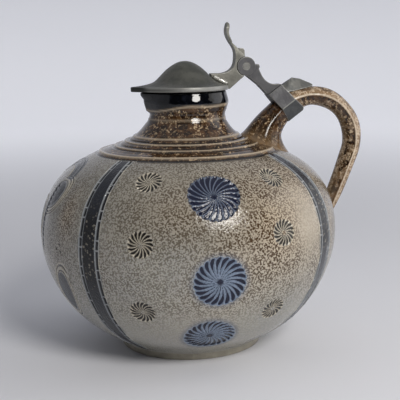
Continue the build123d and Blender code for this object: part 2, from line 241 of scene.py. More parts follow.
def rosette(heading, height, radius, petals, depth, heart, ink, twist):
    """Presses a stamped rosette into the wall: hollow petals with round ends, and thin ridges between."""
    s0 = along_at(height)
    rows = np.nonzero(outer & (abs(along - s0) < radius * 1.5))[0]
    across = turned(heading) * row_r[rows][:, None]
    columns = np.nonzero(abs(across[len(rows) // 2]) < radius * 1.6)[0]
    box = np.ix_(rows, columns)
    across = across[:, columns]
    up = (along[rows] - s0)[:, None] + 0 * across
    distance = np.hypot(across, up)
    rho = distance / radius
    turn = np.arctan2(up, across) + SWIRL * rho**1.3 + twist + 0.05 * np.sin(3 * rho + twist * 9)
    petal = (turn * petals / (2 * math.pi)) % 1 - 0.5
    half = math.pi * distance / petals
    end = radius - math.pi * radius / petals
    deep = half - np.hypot(2 * petal * half, np.maximum(distance - end, 0))
    between = step(0.12, 0.34, abs(petal))
    petals_here = step(heart - 0.06, heart + 0.1, rho)
    hollow = step(-0.12, 0.2, deep) * petals_here
    ridge = bump_at(deep, 0, RIDGE_HALF) * between * petals_here * step(1.14, 0.98, rho)
    sunk = step(1.1, 0.96, rho) * step(1.0, 0.2, rho)
    middle = step(0.2, 0.05, rho) if ink else 0 * rho
    relief[box] += depth * (0.35 * ridge - 0.85 * hollow - 0.3 * sunk - 0.4 * middle)
    detail[box] |= rho < 1.12
    if 0 < ink < 1:
        # a paler rosette keeps narrow dark blades that widen towards the rim
        blade = 0.1 + 0.4 * step(0.45, 0.9, rho)
        hollow = hollow * step(1.0, 0.5, abs(petal - 0.12) / blade)
    # the hollow petals and the middle are darkened: cobalt and glaze pooled there, and painted shade
    dark = np.maximum(hollow, middle)
    field["hollow"][box] = np.maximum(field["hollow"][box], dark)
    # the ridges are painted pale: thin glaze on them, and partly painted highlight
    field["pale"][box] = np.maximum(field["pale"][box], ridge * (0.65 if ink else 1))
    if ink:
        glow = (0.42 - 0.3 * ink) * step(1.4, 1.0, rho)
        inked = np.maximum(step(-0.6, -0.15, deep), step(0.92, 0.84, rho)) * step(1.04, 0.98, rho)
        field["cobalt"][box] = np.maximum(field["cobalt"][box], glow + (0.5 + 0.45 * ink) * inked)
        bloom = step(1.6, 1.4, rho) * (0.1 + (0.3 + 0.6 * ink) * step(1.1, 1.0, rho))
        field["bloom"][box] = np.maximum(field["bloom"][box], bloom)


for panel in PANELS:
    for number, (offset, height, ink) in enumerate(BIG_ROSETTES):
        rosette(panel + offset, height, BIG_R, BIG_PETALS, BIG_DEPTH, BIG_HEART, ink, 0.11 * number)
    for number, (offset, height) in enumerate(SMALL_ROSETTES):
        rosette(panel + offset, height, SMALL_R, SMALL_PETALS, SMALL_DEPTH, SMALL_HEART, 0, 0.17 * number)

# ------------------------------------------------- ladder lines and the dark bands between them
LADDERS = (45.3, 53.2)
LADDER_PERIOD = 17.4
LADDER_SHORT = 5.8
LADDER_HALF = 1.3
LADDER_START = 5.4
RAIL_HALF = 0.34
belly_part = outer[:, None] & (S > 3) & (S < along_at(125.2) + 0.3)
for panel in PANELS:
    for side in (-1, 1):
        for number, offset in enumerate(LADDERS):
            sway = 0.0035 * np.sin(S / 23 + number + side)
            across = abs((turned(panel + side * offset) + sway) * R)
            place = (S - LADDER_START - 0.9 * number) % LADDER_PERIOD
            tick = np.maximum(bump_at(place, 1.0, 0.4), bump_at(place, 1.0 + LADDER_SHORT, 0.4))
            groove = step(LADDER_HALF - 0.05, LADDER_HALF - 0.4, across) * belly_part
            rail = bump_at(across, LADDER_HALF, RAIL_HALF) * belly_part
            rung = tick * step(LADDER_HALF + 0.3, LADDER_HALF, across) * belly_part
            relief += 0.25 * rail + 0.25 * rung - 0.55 * groove * (1 - tick)
            # the groove is darkened: cobalt pooled in it, and painted shade
            dark = groove * (1 - tick)
            field["hollow"] = np.maximum(field["hollow"], dark)
            field["cobalt"] = np.maximum(field["cobalt"], dark)
            halo = 0.4 * step(3.0, 1.2, across + 0.5 * np.sin(S / 3.1 + side)) * belly_part
            field["cobalt"] = np.maximum(field["cobalt"], halo)
            # rails and rungs are painted pale: thin glaze on them, and partly painted highlight
            field["pale"] = np.maximum(field["pale"], np.maximum(rail, rung))
            detail |= (across < 1.9) & belly_part
        middle = (LADDERS[0] + LADDERS[1]) / 2
        half = math.radians(LADDERS[1] - LADDERS[0]) / 2
        away = abs(turned(panel + side * middle)) * R
        band = step(half * R - 0.6, half * R - 1.3, away) * belly_part
        field["cobalt"] = np.maximum(field["cobalt"], 0.9 * band)
        # the dark band is made darker around mid height
        mid_height_dark = step(0.1, 0.75, bump_at(Z, 84 + 5 * side, 22))
        field["iron"] = np.maximum(field["iron"], band * mid_height_dark)

# ------------------------------------------------ the stamped ornament under the pouring lip
front = turned(180)
A = abs(front) * R
B = S + 0 * A


def oval(centre_a, centre_b, half_a, half_b, tilt):
    """Distance from an oval's centre, 1 on its outline."""
    c = math.cos(math.radians(tilt))
    s = math.sin(math.radians(tilt))
    a = (A - centre_a) * c + (B - centre_b) * s
    b = (B - centre_b) * c - (A - centre_a) * s
    return np.hypot(a / half_a, b / half_b)


def incise(distance, width, depth, where):
    """Cuts a thin line with pale lips where a distance in millimetres is 0."""
    line = bump_at(distance, 0, width) * where
    lips = bump_at(abs(distance), 2.1 * width, width * 0.8) * where
    # the cut line is darkened, glaze pooled in it with painted shade; its lips are painted pale, thin glaze
    # with partly painted highlight
    relief[:] += 0.45 * depth * lips - depth * line
    field["hollow"][:] = np.maximum(field["hollow"], 0.75 * line)
    field["pale"][:] = np.maximum(field["pale"], 0.6 * lips)


motif = (outside & (A < 47) & (S < along_at(125.0))).astype(float)
lobe = oval(16.5, 121, 17, 13.5, 20)
for scale in (1.0, 0.88, 0.72):
    incise((lobe - scale) * 15, 0.42, 0.4, motif * step(15.5, 16.5, A + 0 * B + 1.5))
wash = step(0.72, 0.64, lobe) * step(12.6, 13.4, A) * motif
leaf = oval(33.5, 60, 21.5, 9.4, 62)
incise((leaf - 1.0) * 11, 0.4, 0.35, motif)
incise((leaf - 0.82) * 11, 0.35, 0.3, motif)
wash = np.maximum(wash, step(0.8, 0.72, leaf) * motif)
stem = step(13.2, 12.4, A) * step(79, 82, B) * step(133, 129, B) * motif
notch = step(0.15, 0.75, np.sin((B + 0.7 * A) * 2 * math.pi / 3.3)) * bump_at(A, 13.2, 1.5)
notch = notch * step(82, 85, B) * step(130, 127, B) * motif
relief += -0.5 * notch + 0.18 * stem
# the notches are darkened: glaze pooled in them, and painted shade
field["hollow"] = np.maximum(field["hollow"], notch)
stem_wash = 0.8 * step(16.5, 14.5, A) * step(10.2, 11.6, A) * step(82, 88, B) * step(131, 126, B)
wash = np.maximum(wash, stem_wash * motif)
arch = np.hypot(A, B - 126)
for radius in (16.5, 19.5, 24.0):
    incise(arch - radius, 0.4, 0.35, motif * step(1, 3, B - 132))
wash = np.maximum(wash, step(16.5, 17.5, arch) * step(26.5, 25, arch) * step(131, 134, B) * motif)
core = oval(0, 104, 8.5, 13, 0)
incise((core - 1.0) * 10, 0.42, 0.4, motif)
incise((core - 0.62) * 10, 0.42, 0.4, motif)
wash = np.maximum(wash, 0.9 * step(0.62, 0.52, core) * motif)
base_leaf = oval(0, 60, 8, 19, 0)
incise((base_leaf - 1.0) * 10, 0.4, 0.35, motif)
wash = np.maximum(wash, step(0.9, 0.8, base_leaf) * motif)
for dot_a, dot_b in ((42.5, 92.6), (39.2, 89.4), (43.8, 88.2)):
    dot = step(1.1, 0.5, np.hypot(A - dot_a, B - dot_b)) * outside
    relief -= 0.5 * dot
    # the dots are darkened: glaze pooled in them, and painted shade
    field["hollow"] = np.maximum(field["hollow"], dot)
    detail |= dot > 0
field["cobalt"] = np.maximum(field["cobalt"], 0.8 * wash)
detail |= (motif > 0) & (A < 45) & (S > 38)

# --------------------------------------------------- turned rings, glaze zones and unevenness
shoulder_s = along_at(126.0)
per_mm = math.dist(BELLY[-1], NECK_BASE) / (BELLY[-1][0] - NECK_BASE[0])


def shoulder_at(radius):
    """Distance up the wall where the shoulder has a radius."""
    return shoulder_s + (BELLY[-1][0] - radius) * per_mm


RIDGES = ((55.3, 0.75, 1.1), (45.9, 0.55, 0.65), (39.4, 0.5, 0.65), (33.6, 0.6, 0.75))
GROOVES = ((58.0, 0.55, 0.7), (47.6, 0.5, 0.6), (43.2, 0.55, 0.6), (37.0, 0.6, 0.6), (50.6, 0.18, 1.4))
top_part = outer[:, None] & (S > shoulder_s - 6)
for radius, height, width in RIDGES:
    hump = bump_at(S, shoulder_at(radius), width) * top_part
    relief += height * hump
    # the raised rings are painted pale: thin glaze over them, and partly painted highlight
    field["pale"] = np.maximum(field["pale"], 0.8 * hump)
for radius, depth, width in GROOVES:
    dip = bump_at(S, shoulder_at(radius), width) * top_part
    relief -= depth * dip
    # the grooves are darkened: glaze pooled in them, and painted shade
    field["hollow"] = np.maximum(field["hollow"], 0.95 * dip * step(0.1, 0.4, depth))
collar = bump_at(Z, 151.6, 0.55) * top_part
neck_line = bump_at(Z, 146.6, 0.7) * top_part
relief -= 0.7 * bump_at(S, shoulder_at(44), 6) * top_part
relief += 0.3 * collar + 0.16 * neck_line - 0.2 * bump_at(Z, 144.9, 0.8) * top_part
uneven = ripple(X0, Y0, Z, 26, 5)
field["brown"] += step(shoulder_s - 0.4, shoulder_s + 0.5, S + 0.25 * uneven) * top_part
band_foot = 153.0 + 2.6 * step(0.5, 1.5, abs(front)) + 0.25 * uneven
field["mouth"] += step(-0.4, 0.4, Z - band_foot) * top_part
field["pale"] = np.maximum(field["pale"], 0.9 * bump_at(Z, band_foot - 0.6, 0.55) * top_part)
field["pale"] = np.maximum(field["pale"], 0.35 * neck_line)
field["brown"] = np.clip(field["brown"] + (~outer[:, None]) * step(140, 150, Z), 0, 1)

slow = ripple(X0, Y0, Z, 90, 11)
for panel in PANELS:
    browning = bump_at(turned(panel + 30), 0, 0.62) * bump_at(Z, 96, 38)
    field["warm"] = np.maximum(field["warm"], browning)
    patch = 0.5 * bump_at(turned(panel - 12), 0, 0.3) * bump_at(Z, 98, 20)
    field["warm"] = np.maximum(field["warm"], patch)
field["warm"] = np.maximum(field["warm"], 0.75 * bump_at(abs(front), 0.5, 0.1) * bump_at(Z, 97, 14))
field["warm"] = np.clip(field["warm"] + 0.12 * slow, 0, 1) * outer[:, None]
for panel in PANELS:
    field["calm"] = np.maximum(field["calm"], bump_at(turned(panel + 38), 0, 0.16) * bump_at(Z, 88, 22))
    field["calm"] = np.maximum(field["calm"], 0.9 * step(60, 20, Z))
field["calm"] = np.clip(field["calm"] + 0.8 * step(0.25, 0.5, abs(front) * -1 + 0.62), 0, 1)
relief += 0.12 * slow * outside + 0.05 * uneven * outside

# ------------------------------------------------------------------- the jug's wall as a mesh
lip_z = [level[0] for level in LIP_LEVELS]
round_r = np.interp(Z, lip_z, [level[1] for level in LIP_LEVELS])
reach = np.interp(Z, lip_z, [level[2] for level in LIP_LEVELS])
pulled = hull_radius(abs(front), round_r, reach, LIP_NOSE_R) - round_r
above = step(LIP_LEVELS[0][0] - 1, LIP_LEVELS[0][0] + 3, Z)
high = Z > LIP_LEVELS[0][0] - 1
wall_r = R + relief * row_out[:, :1] + high * np.maximum(0, pulled) * above
lean = NECK_LEAN * step(138, 156, Z) * (row_r[:, None] < 40)
POINTS = np.stack([wall_r * np.cos(T) + lean, wall_r * np.sin(T), Z + relief * row_out[:, 1:]], -1)


def lattice_faces():
    """Faces of the wall, coarse but split finely where there is ornament, and which points they use."""
    cells_up = (row_count - 1) // CELL
    cells_round = COLUMNS // CELL
    split = np.zeros((cells_up, cells_round), bool)
    marked = detail[: cells_up * CELL].reshape(cells_up, CELL, cells_round, CELL).any((1, 3))
    split |= marked
    used = np.zeros((row_count, COLUMNS), bool)
    used[::CELL, ::CELL] = True
    for i, j in zip(*np.nonzero(split)):
        columns = np.arange(j * CELL, (j + 1) * CELL + 1) % COLUMNS
        used[i * CELL:(i + 1) * CELL + 1, columns] = True
    number = np.full(used.shape, -1)
    number[used] = np.arange(used.sum())
    faces = []
    for i in range(cells_up):
        for j in range(cells_round):
            top, left = i * CELL, j * CELL
            columns = np.arange(left, left + CELL + 1) % COLUMNS
            if split[i, j]:
                block = number[top:top + CELL + 1][:, columns]
                quads = np.stack([block[:-1, :-1], block[:-1, 1:], block[1:, 1:], block[1:, :-1]], -1)
                faces.extend(quads.reshape(-1, 4).tolist())
                continue
            ring = list(number[top, columns[:-1]]) + list(number[top:top + CELL, columns[-1]])
            ring += list(number[top + CELL, columns[:0:-1]]) + list(number[top + CELL:top:-1, left])
            faces.append([int(n) for n in ring if n >= 0])
    faces.append([int(n) for n in number[0, ::CELL]][::-1])
    faces.append([int(n) for n in number[row_count - 1, ::CELL]])
    return faces, used


wall_faces, used = lattice_faces()
jug = make_object(
    "jug_wall", POINTS[used], wall_faces, "jug", ["jug_body"],
    {key: np.clip(value, 0, 1)[used] for key, value in field.items()},
)

# ---------------------------------------------------------------------------------- handle
LOOP_X = 83.5
LOOP_Z = 129.5
LOOP_R = 28.4
ROOT_ANGLE = 141.0
STRAP_ANGLE = 125.5
LOOP_END = -21.5
HANDLE_SIDES = 72


def on_loop(angle, radius):
    """A point of the handle's loop, as (x, z, radius of the handle)."""
    a = math.radians(angle)
    return LOOP_X + LOOP_R * math.cos(a), LOOP_Z + LOOP_R * math.sin(a), radius


def handle_path():
    """Centres and radii down the handle, from inside the shoulder to the thumbed tail."""
    a = math.radians(ROOT_ANGLE)
    along_root = (math.sin(a), -math.cos(a))
    top = on_loop(ROOT_ANGLE, 8.3)
    middle = (top[0] - 13.5 * along_root[0], top[1] - 13.5 * along_root[1], 10.6)
    base_x = top[0] - 27 * along_root[0] + 6 * along_root[1]
    base_z = top[1] - 27 * along_root[1] - 6 * along_root[0]
    base = (base_x, base_z, 16.0)
    root = [base, middle, top, on_loop(STRAP_ANGLE, 7.7), on_loop(107.75, 7.0), on_loop(90, 6.1)]
    upper = smooth_curve(root, 0.75, None, (1, 0, -0.02))
    turns = np.linspace(90, LOOP_END, 80)[1:-1]
    loop = np.array([on_loop(t, 6.1 + 0.12 * math.sin(t / 9)) for t in turns])
    tail = [on_loop(LOOP_END, 6.0), (104.2, 104.6, 5.6), (98.9, 91.4, 5.0)]
    tail += [(95.7, 82.0, 3.4), (94.3, 71.0, 0.9)]
    a = math.radians(LOOP_END)
    lower = smooth_curve(tail, 0.75, (math.sin(a), -math.cos(a), -0.01), (-0.05, -1, -0.2))
    return np.concatenate([upper, loop, lower])


profile_r = row_r[first_belly:top_row]
profile_z = row_z[first_belly:top_row]


def above_wall(points):
    """Height of points above the jug's outside, and the direction away from it."""
    rho = np.hypot(points[:, 0], points[:, 1])
    thin = slice(None, None, 4)
    gaps = np.hypot(rho[:, None] - profile_r[thin][None], points[:, 2][:, None] - profile_z[thin][None])
    near = gaps.argmin(1)
    out = row_out[first_belly:top_row][thin][near]
    h = (rho - profile_r[thin][near]) * out[:, 0] + (points[:, 2] - profile_z[thin][near]) * out[:, 1]
    normal = np.stack([out[:, 0] * points[:, 0] / rho, out[:, 0] * points[:, 1] / rho, out[:, 1]], 1)
    return h, normal


def build_handle():
    """The pulled handle: a round tube with a faint ridge, flared where it meets the wall."""
    path = handle_path()
    heading = np.gradient(path[:, :2], axis=0)
    heading /= np.linalg.norm(heading, axis=1)[:, None]
    around = np.linspace(0, 2 * math.pi, HANDLE_SIDES, endpoint=False)
    count = len(path)
    # in the loop's plane the section's first axis points away from the loop's centre
    first = np.stack([-heading[:, 1], heading[:, 0]], 1)
    ridge = 0.3 * bump_at(np.cos(around), 0.16, 0.14) - 0.25 * bump_at(np.cos(around), -0.2, 0.16)
    radius = path[:, 2][:, None] + ridge
    inward = radius * np.cos(around)
    sideways = radius * np.sin(around) * 1.02
    x = path[:, 0][:, None] + first[:, :1] * inward
    z = path[:, 1][:, None] + first[:, 1:] * inward
    points = np.stack([x, sideways, z], -1).reshape(-1, 3)
    centre = np.repeat(np.stack([path[:, 0], 0 * path[:, 0], path[:, 1]], 1), HANDLE_SIDES, axis=0)
    height, normal = above_wall(points)
    outward = points - centre
    outward -= (outward * normal).sum(1)[:, None] * normal
    outward /= np.linalg.norm(outward, axis=1)[:, None] + 1e-6
    station = np.repeat(np.arange(count), HANDLE_SIDES)
    root = station < count * 0.35
    flare = np.where(root, 3.6, 0.9) * np.exp(-np.maximum(height, 0) / np.where(root, 3.2, 1.2))
    lean_side = np.where(root & (outward[:, 0] < 0), 0.55, 1.0)
    points += outward * (flare * lean_side)[:, None]
    wobble = ripple(points[:, 0], points[:, 1], points[:, 2], 21, 3)
    points += 0.10 * wobble[:, None] * (points - centre) / 6
    faces = tube_faces(count, HANDLE_SIDES)
    faces.append(list(range(HANDLE_SIDES)))
    faces.append(list(range((count - 1) * HANDLE_SIDES, count * HANDLE_SIDES))[::-1])
    near_wall = np.exp(-np.maximum(height, 0) / 4)
    across = np.tile(0.5 + 0.5 * np.cos(around), count)
    run = np.concatenate([[0], np.cumsum(np.linalg.norm(np.diff(path[:, :2], axis=0), axis=1))])
    values = {"near_wall": near_wall, "across": across, "run": np.repeat(run * MM, HANDLE_SIDES)}
    return make_object("handle_grip", points, faces, "jug", ["handle"], values)


grip = build_handle()

# ------------------------------------------------------------------------------------- lid
LID_R = 27.5
LID_REACH = 34.8
LID_NOSE_R = 4.0
LID_SEAT_Z = 164.0
BRIM_TOP = 167.0
LID_COLUMNS = 288


def build_lid():
    """The pewter lid: a turned dome on a brim that is drawn out to a beak, hollow below."""
    dome = ((0.6, 182.5), (7.2, 180.4), (14, 175), (21.2, 168.8), (LID_R - 0.5, BRIM_TOP))
    dome = smooth_curve(dome, 0.8, (1, 0), (1, -0.08))
    hollow = smooth_curve(((20.5, 166.2), (12.6, 173.4), (6.5, 178.5), (0.6, 180.5)), 1.4, (-0.8, 1), (-1, 0))
    edge = [(LID_R - 0.15, 166.85), (LID_R, 166.5), (LID_R - 0.02, 165.2)]
    edge += [(LID_R, 164.5), (LID_R - 0.15, 164.15), (LID_R - 0.5, LID_SEAT_Z)]
    under = [(26, LID_SEAT_Z), (23, LID_SEAT_Z), (21.7, LID_SEAT_Z), (21.5, 164.1), (21.2, 164.8)]
    rows = np.concatenate([dome, np.array(edge), np.array(under), hollow])
    on_dome = step(19, LID_R, dome[:, 0])
    on_seat = step(21.6, 25.5, np.array(under)[:, 0])
    share = np.concatenate([on_dome, np.ones(len(edge)), on_seat, 0 * hollow[:, 0]])
    turn = np.arange(LID_COLUMNS) * 2 * math.pi / LID_COLUMNS
    from_beak = abs((turn + 2 * math.pi) % (2 * math.pi) - math.pi)
    full = np.full(LID_COLUMNS, LID_R)
    grown = hull_radius(from_beak, full, np.full(LID_COLUMNS, LID_REACH), LID_NOSE_R) - LID_R
    radius = rows[:, :1] + share[:, None] * grown[None, :]
    x = radius * np.cos(turn)
    y = radius * np.sin(turn)
    z = rows[:, 1:] + 0 * x
    dents = ripple(x, y, z, 17, 8)
    z = z + 0.06 * dents * step(LID_SEAT_Z + 0.2, LID_SEAT_Z + 2, z)
    points = np.stack([x, y, z], -1).reshape(-1, 3)
    faces = tube_faces(len(rows), LID_COLUMNS)
    faces.append(list(range(LID_COLUMNS)))
    faces.append(list(range((len(rows) - 1) * LID_COLUMNS, len(rows) * LID_COLUMNS))[::-1])
    return make_object("lid_dome", points, faces, "lid", ["lid_shell"])


lid = build_lid()


# -------------------------------------------------------------------------- pewter castings
def casting(name, node, body, voxel, rounds, roughness, seed):
    """A cast copy of a CAD piece: edges worn round, and faces left slightly uneven."""
    source = bpy.data.objects.new(name + "_form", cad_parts[node].data.copy())
    bpy.context.scene.collection.objects.link(source)
    remesh = source.modifiers.new("voxels", "REMESH")
    remesh.mode = "VOXEL"
    remesh.voxel_size = voxel * MM
    worn = source.modifiers.new("worn", "SMOOTH")
    worn.factor = 0.5
    worn.iterations = rounds
    shape = source.evaluated_get(bpy.context.evaluated_depsgraph_get())
    mesh = bpy.data.meshes.new_from_object(shape)
    bpy.data.objects.remove(source)
    count = len(mesh.vertices)
    co = np.zeros(count * 3, np.float32)
    mesh.vertices.foreach_get("co", co)
    normal = np.zeros(count * 3, np.float32)
    mesh.vertices.foreach_get("normal", normal)
    co = co.reshape(-1, 3) / MM
    normal = normal.reshape(-1, 3)
    coarse_marks = ripple(co[:, 0], co[:, 1], co[:, 2], 6.5, seed)
    fine_marks = ripple(co[:, 0], co[:, 1], co[:, 2], 2.2, seed + 1)
    co = co + normal * (roughness * (coarse_marks + 0.4 * fine_marks))[:, None]
    mesh.vertices.foreach_set("co", (co * MM).astype(np.float32).ravel())
    mesh.materials.clear()
    mesh.update()
    mesh.shade_smooth()
    made = bpy.data.objects.new(name, mesh)
    bpy.context.scene.collection.objects.link(made)
    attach(made, body)
    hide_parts(node)
    return made


lever = casting("lever_casting", "thumb_lever", "lid", 0.26, 4, 0.04, 21)
shank = casting("shank_casting", "hinge_shank", "jug", 0.28, 3, 0.04, 31)
band = casting("strap_casting", "strap_band", "jug", 0.3, 3, 0.05, 41)
tongue = casting("tongue_casting", "strap_tongue", "jug", 0.3, 3, 0.05, 51)
pin = casting("pin_rivet", "hinge_pin", "jug", 0.25, 4, 0.04, 61)
solder = casting("solder_bead", "lid_solder", "lid", 0.25, 3, 0.16, 71)


# ------------------------------------------------------------------------------- materials
class Finish:
    """Builds one node material. A socket takes a number, a colour or a link."""

    def __init__(self, name, roughness, metallic=0.0, **constants):
        self.material = bpy.data.materials.new(name)
        self.material.use_nodes = True
        self.tree = self.material.node_tree
        self.shader = self.tree.nodes["Principled BSDF"]
        self.put(self.shader.inputs["Roughness"], roughness)
        self.put(self.shader.inputs["Metallic"], metallic)
        for key, value in constants.items():
            self.put(self.shader.inputs[key.replace("_", " ")], value)
        self.place = self.node("TexCoord").outputs["Object"]

    def put(self, socket, value):
        """Links a socket to another, or sets it."""
        if isinstance(value, bpy.types.NodeSocket):
            self.tree.links.new(value, socket)
        else:
            socket.default_value = value

    def node(self, kind, sockets=(), **settings):
        """Adds a shader node and fills its sockets."""
        made = self.tree.nodes.new("ShaderNode" + kind)
        for key, value in settings.items():
            setattr(made, key, value)
        for key, value in sockets:
            self.put(made.inputs[key], value)
        return made

    def noise(self, size, detail=2.0, rough=0.5, twist=0.0, place=None):
        """Noise whose features are about size millimetres across."""
        sockets = [("Vector", place or self.place), ("Scale", 1 / (size * MM)), ("Detail", detail)]
        sockets += [("Roughness", rough), ("Distortion", twist)]
        return self.node("TexNoise", sockets).outputs["Fac"]

    def cells(self, size):
        """Distance from the middle of the nearest cell, for cells about size millimetres apart."""
        sockets = (("Vector", self.place), ("Scale", 1 / (size * MM)))
        return self.node("TexVoronoi", sockets).outputs["Distance"]

    def value(self, name):
        """A value that the mesh carries at its points."""
        return self.node("Attribute", attribute_name=name).outputs["Fac"]

    def math(self, operation, a, b=0.0, clamp=False):
        """The result of one sum."""
        return self.node("Math", ((0, a), (1, b)), operation=operation, use_clamp=clamp).outputs[0]

    def band(self, value, low, high, out_low=0.0, out_high=1.0):
        """Maps a value smoothly from low..high to out_low..out_high."""
        sockets = [("Value", value), ("From Min", low), ("From Max", high)]
        sockets += [("To Min", out_low), ("To Max", out_high)]
        return self.node("MapRange", sockets, interpolation_type="SMOOTHSTEP").outputs["Result"]

    def mix(self, factor, a, b):
        """Colour a where the factor is 0, and b where it is 1."""
        return self.node("Mix", ((0, factor), (6, a), (7, b)), data_type="RGBA").outputs[2]

    def bump(self, height, distance, strength=1.0, under=None):
        """Relief of a height from 0 to 1, distance millimetres deep."""
        sockets = [("Height", height), ("Distance", distance * MM), ("Strength", strength)]
        if under is not None:
            sockets.append(("Normal", under))
        return self.node("Bump", sockets).outputs["Normal"]

    def paint(self, *pieces):
        """Gives the pieces this finish alone."""
        for piece in pieces:
            piece.data.materials.clear()
            piece.data.materials.append(self.material)


def rgb(red, green, blue):
    """A display colour, 0 to 255, as the linear colour that the shader takes."""
    shares = [value / 255 for value in (red, green, blue)]
    return *(v / 12.92 if v <= 0.04045 else ((v + 0.055) / 1.055) ** 2.4 for v in shares), 1.0


def glaze_mottle(f):
    """Mottled brown salt glaze: nearly black brown with beige flecks and worms."""
    blotch = f.noise(4.2, 3.0, 0.6, 0.8)
    worm = f.noise(1.7, 2.0, 0.5, 0.9)
    wide = f.noise(15, 2.0)
    brown = f.mix(f.band(blotch, 0.4, 0.66), rgb(34, 20, 9), rgb(80, 55, 32))
    cover = f.math("MULTIPLY", f.band(worm, 0.55, 0.65), f.band(wide, 0.42, 0.6, 0.2, 1.0))
    fleck = f.math("MULTIPLY", cover, f.band(blotch, 0.36, 0.58, 0.3, 1.0))
    return f.mix(f.math("MULTIPLY", fleck, 0.9), brown, rgb(196, 172, 138)), worm


def stoneware():
    """Grey and tan salt glaze, with the cobalt, the brown neck and the black mouth laid over it."""
    f = Finish("salt_glazed_stoneware", 0.14, 0.0, Specular_IOR_Level=0.46)
    cobalt, hollow, pale = f.value("cobalt"), f.value("hollow"), f.value("pale")
    iron, brown, warm, mouth = f.value("iron"), f.value("brown"), f.value("warm"), f.value("mouth")
    # orange peel: bumps about 2 mm apart with channels between them, browner where the salt bit more
    peel = f.noise(1.0, 0.0, 0.5, 0.3)
    fine = f.noise(0.6, 1.0, 0.5, 0.2)
    drift = f.noise(30, 2.0)
    grey = f.mix(f.band(drift, 0.35, 0.65), rgb(158, 159, 157), rgb(167, 166, 159))
    tan = f.mix(f.band(drift, 0.3, 0.7), rgb(210, 193, 167), rgb(199, 186, 166))
    ground = f.mix(warm, grey, tan)
    ground = f.mix(f.band(fine, 0.4, 0.62, 0.0, 0.35), ground, rgb(186, 178, 158))
    pit_colour = f.mix(warm, rgb(84, 77, 64), rgb(78, 53, 30))
    pit = f.math("MULTIPLY", f.band(peel, 0.62, 0.38), f.band(warm, 0.0, 0.7, 0.72, 1.0))
    pit = f.math("MULTIPLY", pit, f.band(f.noise(14, 1.0), 0.3, 0.6, 0.75, 1.0))
    pit = f.math("MULTIPLY", pit, f.band(f.value("calm"), 0.0, 1.0, 1.0, 0.2))
    body = f.mix(pit, ground, pit_colour)
    height = f.node("SeparateXYZ", (("Vector", f.place),)).outputs["Z"]
    # the body is made darker towards the top
    body = f.mix(f.band(height, 0.04, 0.118, 0.0, 0.42), body, rgb(66, 57, 44))
    glaze, _ = glaze_mottle(f)
    skin = f.mix(brown, body, glaze)
    bloom = f.value("bloom")
    slate = f.mix(f.band(cobalt, 0.3, 0.85), rgb(92, 95, 97), rgb(26, 28, 33))
    petal = f.mix(f.band(bloom, 0.12, 0.38), rgb(76, 92, 120), rgb(128, 144, 166))
    petal = f.mix(f.band(bloom, 0.45, 0.95), petal, rgb(14, 21, 38))
    blue = f.mix(f.band(bloom, 0.02, 0.1), slate, petal)
    blue = f.mix(f.band(peel, 0.6, 0.4, 0.0, 0.3), blue, rgb(34, 42, 60))
    # the hollows take near black and deep blue: pooled cobalt, deepened as painted shade
    ink = f.mix(f.band(bloom, 0.02, 0.1), rgb(4, 5, 8), rgb(6, 14, 42))
    blue = f.mix(f.band(hollow, 0.1, 0.8), blue, ink)
    skin = f.mix(f.band(cobalt, 0.05, 0.7), skin, blue)
    pebble = f.mix(f.band(f.cells(2.1), 0.42, 0.26), rgb(7, 7, 7), rgb(120, 116, 106))
    pebble = f.mix(f.band(f.noise(3.0, 1.0), 0.42, 0.56), rgb(8, 8, 8), pebble)
    skin = f.mix(f.math("MULTIPLY", iron, f.band(hollow, 0.6, 0.1, 0.0, 0.95)), skin, pebble)
    # hollows without cobalt are painted near black: glaze pooled there, and painted shade
    bare_hollow_pool_and_shade = f.math("MULTIPLY", f.band(hollow, 0.15, 0.8), f.band(cobalt, 0.5, 0.1))
    skin = f.mix(f.math("MULTIPLY", bare_hollow_pool_and_shade, 0.96), skin, rgb(14, 10, 7))
    lip = f.mix(f.band(f.noise(6, 2.0, 0.5, 1.0), 0.5, 0.72), rgb(5, 6, 10), rgb(22, 25, 33))
    skin = f.mix(mouth, skin, lip)
    # raised lines painted paler: grey clay and thin glaze there, and partly painted highlight
    crest_and_highlight = f.mix(f.band(cobalt, 0.15, 0.5), rgb(220, 211, 192), rgb(162, 167, 172))
    crest_and_highlight = f.mix(f.band(bloom, 0.3, 0.6), crest_and_highlight, rgb(148, 162, 184))
    crest_and_highlight = f.mix(brown, crest_and_highlight, rgb(206, 190, 166))
    skin = f.mix(f.math("MULTIPLY", pale, 0.85), skin, crest_and_highlight)
    at_foot = f.band(height, 0.0052, 0.0042)
    clay = f.mix(f.band(f.noise(5, 3.0, 0.6), 0.35, 0.65), rgb(150, 145, 132), rgb(166, 160, 145))
    skin = f.mix(at_foot, skin, clay)
    f.put(f.shader.inputs["Base Color"], skin)
    gloss = f.mix(brown, (0.13, 0.13, 0.13, 1), (0.12, 0.12, 0.12, 1))
    gloss = f.mix(mouth, gloss, (0.06, 0.06, 0.06, 1))
    gloss = f.mix(at_foot, gloss, (0.6, 0.6, 0.6, 1))
    f.put(f.shader.inputs["Roughness"], gloss)
    glassy = f.math("MAXIMUM", f.math("MULTIPLY", brown, 0.75), mouth)
    calm = f.mix(glassy, (1, 1, 1, 1), (0.06, 0.06, 0.06, 1))
    bumps = f.math("MULTIPLY", peel, calm)
    relief_normal = f.bump(bumps, 0.15)
    relief_normal = f.bump(f.math("MULTIPLY", fine, calm), 0.02, 1.0, relief_normal)
    waves = f.math("MULTIPLY", f.noise(5.5, 1.0), mouth)
    relief_normal = f.bump(waves, 0.28, 1.0, relief_normal)
    f.put(f.shader.inputs["Normal"], relief_normal)
    return f


